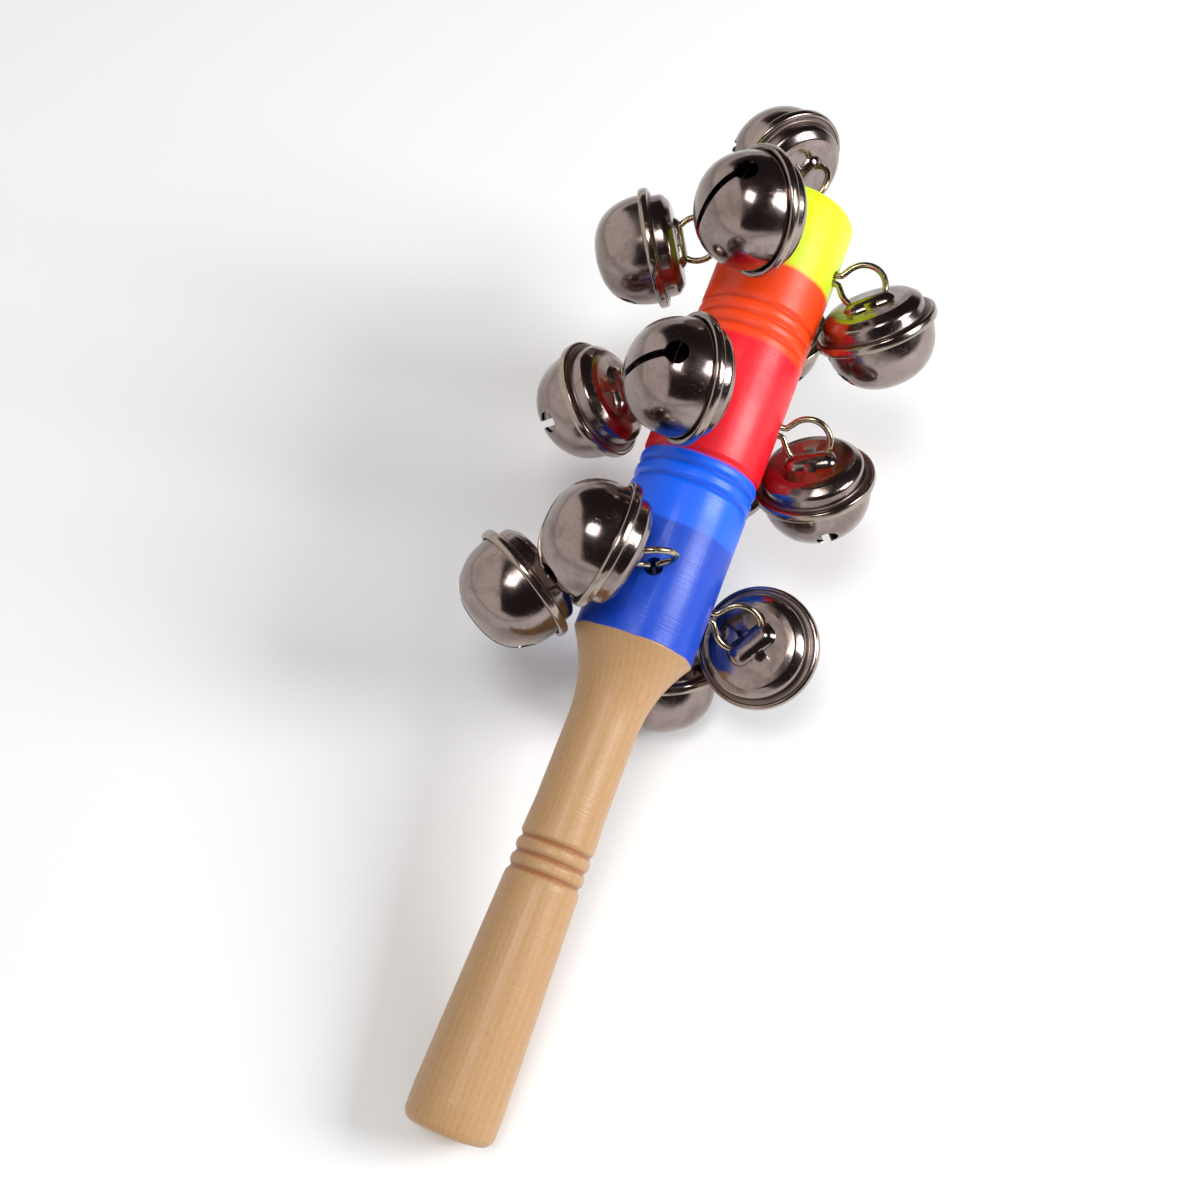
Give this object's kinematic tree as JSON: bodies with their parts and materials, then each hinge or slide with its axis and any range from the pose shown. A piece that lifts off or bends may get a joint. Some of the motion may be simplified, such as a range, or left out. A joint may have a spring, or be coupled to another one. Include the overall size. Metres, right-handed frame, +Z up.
{
  "type": "sleigh bells",
  "caption": "Hand-held sleigh bells: a turned wooden stick with a banded painted head, ringed by round two-shell jingle bells hung on wire eyes, with one more on the end.",
  "frame": {"origin": "middle of the footprint, at the height of the table the object lies on", "axes": "+Z up from the table, +Y along the stick from butt to head (the head is raised by the bells under it), +X to the right"},
  "size_m": [0.0734, 0.2118, 0.0918],
  "materials": {
    "painted_wood": "clear varnish on the handle, gloss paint in bands on the head",
    "bell_steel": "dark nickel plate, near mirror",
    "wire": "drawn wire, slightly dulled",
    "pellet_steel": "plain steel ball"
  },
  "bodies": {
    "stick": {"stick": "painted_wood", "bell_top_front_loop_pin": "wire", "bell_top_right_loop_pin": "wire", "bell_top_back_loop_pin": "wire", "bell_top_left_loop_pin": "wire", "bell_middle_front_loop_pin": "wire", "bell_middle_right_loop_pin": "wire", "bell_middle_back_loop_pin": "wire", "bell_middle_left_loop_pin": "wire", "bell_low_front_loop_pin": "wire", "bell_low_right_loop_pin": "wire", "bell_low_back_loop_pin": "wire", "bell_low_left_loop_pin": "wire", "bell_end_loop_pin": "wire"},
    "bell_top_front": {"bell_top_front_upper_shell": "bell_steel", "bell_top_front_lower_shell": "bell_steel"},
    "bell_top_right": {"bell_top_right_upper_shell": "bell_steel", "bell_top_right_lower_shell": "bell_steel"},
    "bell_top_back": {"bell_top_back_upper_shell": "bell_steel", "bell_top_back_lower_shell": "bell_steel"},
    "bell_top_left": {"bell_top_left_upper_shell": "bell_steel", "bell_top_left_lower_shell": "bell_steel"},
    "bell_middle_front": {"bell_middle_front_upper_shell": "bell_steel", "bell_middle_front_lower_shell": "bell_steel"},
    "bell_middle_right": {"bell_middle_right_upper_shell": "bell_steel", "bell_middle_right_lower_shell": "bell_steel"},
    "bell_middle_back": {"bell_middle_back_upper_shell": "bell_steel", "bell_middle_back_lower_shell": "bell_steel"},
    "bell_middle_left": {"bell_middle_left_upper_shell": "bell_steel", "bell_middle_left_lower_shell": "bell_steel"},
    "bell_low_front": {"bell_low_front_upper_shell": "bell_steel", "bell_low_front_lower_shell": "bell_steel"},
    "bell_low_right": {"bell_low_right_upper_shell": "bell_steel", "bell_low_right_lower_shell": "bell_steel"},
    "bell_low_back": {"bell_low_back_upper_shell": "bell_steel", "bell_low_back_lower_shell": "bell_steel"},
    "bell_low_left": {"bell_low_left_upper_shell": "bell_steel", "bell_low_left_lower_shell": "bell_steel"},
    "bell_end": {"bell_end_upper_shell": "bell_steel", "bell_end_lower_shell": "bell_steel"},
    "bell_top_front_pellet": {"bell_top_front_pellet": "pellet_steel"},
    "bell_top_right_pellet": {"bell_top_right_pellet": "pellet_steel"},
    "bell_top_back_pellet": {"bell_top_back_pellet": "pellet_steel"},
    "bell_top_left_pellet": {"bell_top_left_pellet": "pellet_steel"},
    "bell_middle_front_pellet": {"bell_middle_front_pellet": "pellet_steel"},
    "bell_middle_right_pellet": {"bell_middle_right_pellet": "pellet_steel"},
    "bell_middle_back_pellet": {"bell_middle_back_pellet": "pellet_steel"},
    "bell_middle_left_pellet": {"bell_middle_left_pellet": "pellet_steel"},
    "bell_low_front_pellet": {"bell_low_front_pellet": "pellet_steel"},
    "bell_low_right_pellet": {"bell_low_right_pellet": "pellet_steel"},
    "bell_low_back_pellet": {"bell_low_back_pellet": "pellet_steel"},
    "bell_low_left_pellet": {"bell_low_left_pellet": "pellet_steel"},
    "bell_end_pellet": {"bell_end_pellet": "pellet_steel"}
  },
  "joints": [
    {"name": "bell_top_front_swing", "type": "hinge", "parent": "stick", "child": "bell_top_front", "pos_m": [0.00185, 0.06255, 0.07851], "axis": [-0.4981, 0.8058, 0.3202], "range_deg": [-2.5, 60]},
    {"name": "bell_top_right_swing", "type": "hinge", "parent": "stick", "child": "bell_top_right", "pos_m": [0.02213, 0.06507, 0.05773], "axis": [0.7971, 0.5184, 0.3097], "range_deg": [-60, 12.5]},
    {"name": "bell_top_back_swing", "type": "hinge", "parent": "stick", "child": "bell_top_back", "pos_m": [0.00062, 0.07409, 0.03554], "axis": [0.1511, 0.9852, -0.0807], "range_deg": [-50, 60]},
    {"name": "bell_top_left_swing", "type": "hinge", "parent": "stick", "child": "bell_top_left", "pos_m": [-0.02019, 0.06756, 0.0564], "axis": [-0.4803, 0.732, 0.4832], "range_deg": [-60, 60]},
    {"name": "bell_middle_front_swing", "type": "hinge", "parent": "stick", "child": "bell_middle_front", "pos_m": [0.00135, 0.02727, 0.06789], "axis": [-0.039, 0.708, 0.7051], "range_deg": [-7.5, 60]},
    {"name": "bell_middle_right_swing", "type": "hinge", "parent": "stick", "child": "bell_middle_right", "pos_m": [0.02125, 0.0349, 0.04253], "axis": [0.9084, 0.3324, 0.2537], "range_deg": [-27.5, 25]},
    {"name": "bell_middle_back_swing", "type": "hinge", "parent": "stick", "child": "bell_middle_back", "pos_m": [0.00088, 0.03928, 0.02618], "axis": [-0.1439, 0.9354, -0.3229], "range_deg": [-60, 52.5]},
    {"name": "bell_middle_left_swing", "type": "hinge", "parent": "stick", "child": "bell_middle_left", "pos_m": [-0.01997, 0.03372, 0.04767], "axis": [-0.5573, 0.779, 0.2873], "range_deg": [-32.5, 60]},
    {"name": "bell_low_front_swing", "type": "hinge", "parent": "stick", "child": "bell_low_front", "pos_m": [-0.00181, -0.00671, 0.05601], "axis": [0.3757, -0.1036, 0.9209], "range_deg": [-17.5, 2.5]},
    {"name": "bell_low_right_swing", "type": "hinge", "parent": "stick", "child": "bell_low_right", "pos_m": [0.02253, -0.00166, 0.03006], "axis": [0.5608, 0.6734, 0.4818], "range_deg": [-60, 5]},
    {"name": "bell_low_back_swing", "type": "hinge", "parent": "stick", "child": "bell_low_back", "pos_m": [0.00421, -0.00204, 0.01576], "axis": [-0.0436, 0.7551, -0.6542], "range_deg": [0, 37.5]},
    {"name": "bell_low_left_swing", "type": "hinge", "parent": "stick", "child": "bell_low_left", "pos_m": [-0.0188, -0.00767, 0.04266], "axis": [-0.7349, 0.5094, -0.4477], "range_deg": [-7.5, 2.5]},
    {"name": "bell_end_swing", "type": "hinge", "parent": "stick", "child": "bell_end", "pos_m": [-0.00125, 0.09077, 0.06092], "axis": [-0.452, -0.6911, -0.564], "range_deg": [-20, 40]},
    {"name": "bell_top_front_pellet_slide", "type": "slide", "parent": "bell_top_front", "child": "bell_top_front_pellet", "axis": [0, 0, 1], "range_m": [0, 0.0116]},
    {"name": "bell_top_right_pellet_slide", "type": "slide", "parent": "bell_top_right", "child": "bell_top_right_pellet", "axis": [0, 0, 1], "range_m": [0, 0.009]},
    {"name": "bell_top_back_pellet_slide", "type": "slide", "parent": "bell_top_back", "child": "bell_top_back_pellet", "axis": [0, 0, 1], "range_m": [0, 0.008]},
    {"name": "bell_top_left_pellet_slide", "type": "slide", "parent": "bell_top_left", "child": "bell_top_left_pellet", "axis": [0, 0, 1], "range_m": [0, 0.0122]},
    {"name": "bell_middle_front_pellet_slide", "type": "slide", "parent": "bell_middle_front", "child": "bell_middle_front_pellet", "axis": [0, 0, 1], "range_m": [0, 0.0114]},
    {"name": "bell_middle_right_pellet_slide", "type": "slide", "parent": "bell_middle_right", "child": "bell_middle_right_pellet", "axis": [0, 0, 1], "range_m": [0, 0.0083]},
    {"name": "bell_middle_back_pellet_slide", "type": "slide", "parent": "bell_middle_back", "child": "bell_middle_back_pellet", "axis": [0, 0, 1], "range_m": [0, 0.0083]},
    {"name": "bell_middle_left_pellet_slide", "type": "slide", "parent": "bell_middle_left", "child": "bell_middle_left_pellet", "axis": [0, 0, 1], "range_m": [0, 0.0101]},
    {"name": "bell_low_front_pellet_slide", "type": "slide", "parent": "bell_low_front", "child": "bell_low_front_pellet", "axis": [0, 0, 1], "range_m": [0, 0.0115]},
    {"name": "bell_low_right_pellet_slide", "type": "slide", "parent": "bell_low_right", "child": "bell_low_right_pellet", "axis": [0, 0, 1], "range_m": [0, 0.0086]},
    {"name": "bell_low_back_pellet_slide", "type": "slide", "parent": "bell_low_back", "child": "bell_low_back_pellet", "axis": [0, 0, 1], "range_m": [0, 0.0093]},
    {"name": "bell_low_left_pellet_slide", "type": "slide", "parent": "bell_low_left", "child": "bell_low_left_pellet", "axis": [0, 0, 1], "range_m": [0, 0.0124]},
    {"name": "bell_end_pellet_slide", "type": "slide", "parent": "bell_end", "child": "bell_end_pellet", "axis": [0, 0, 1], "range_m": [0, 0.0124]}
  ]
}
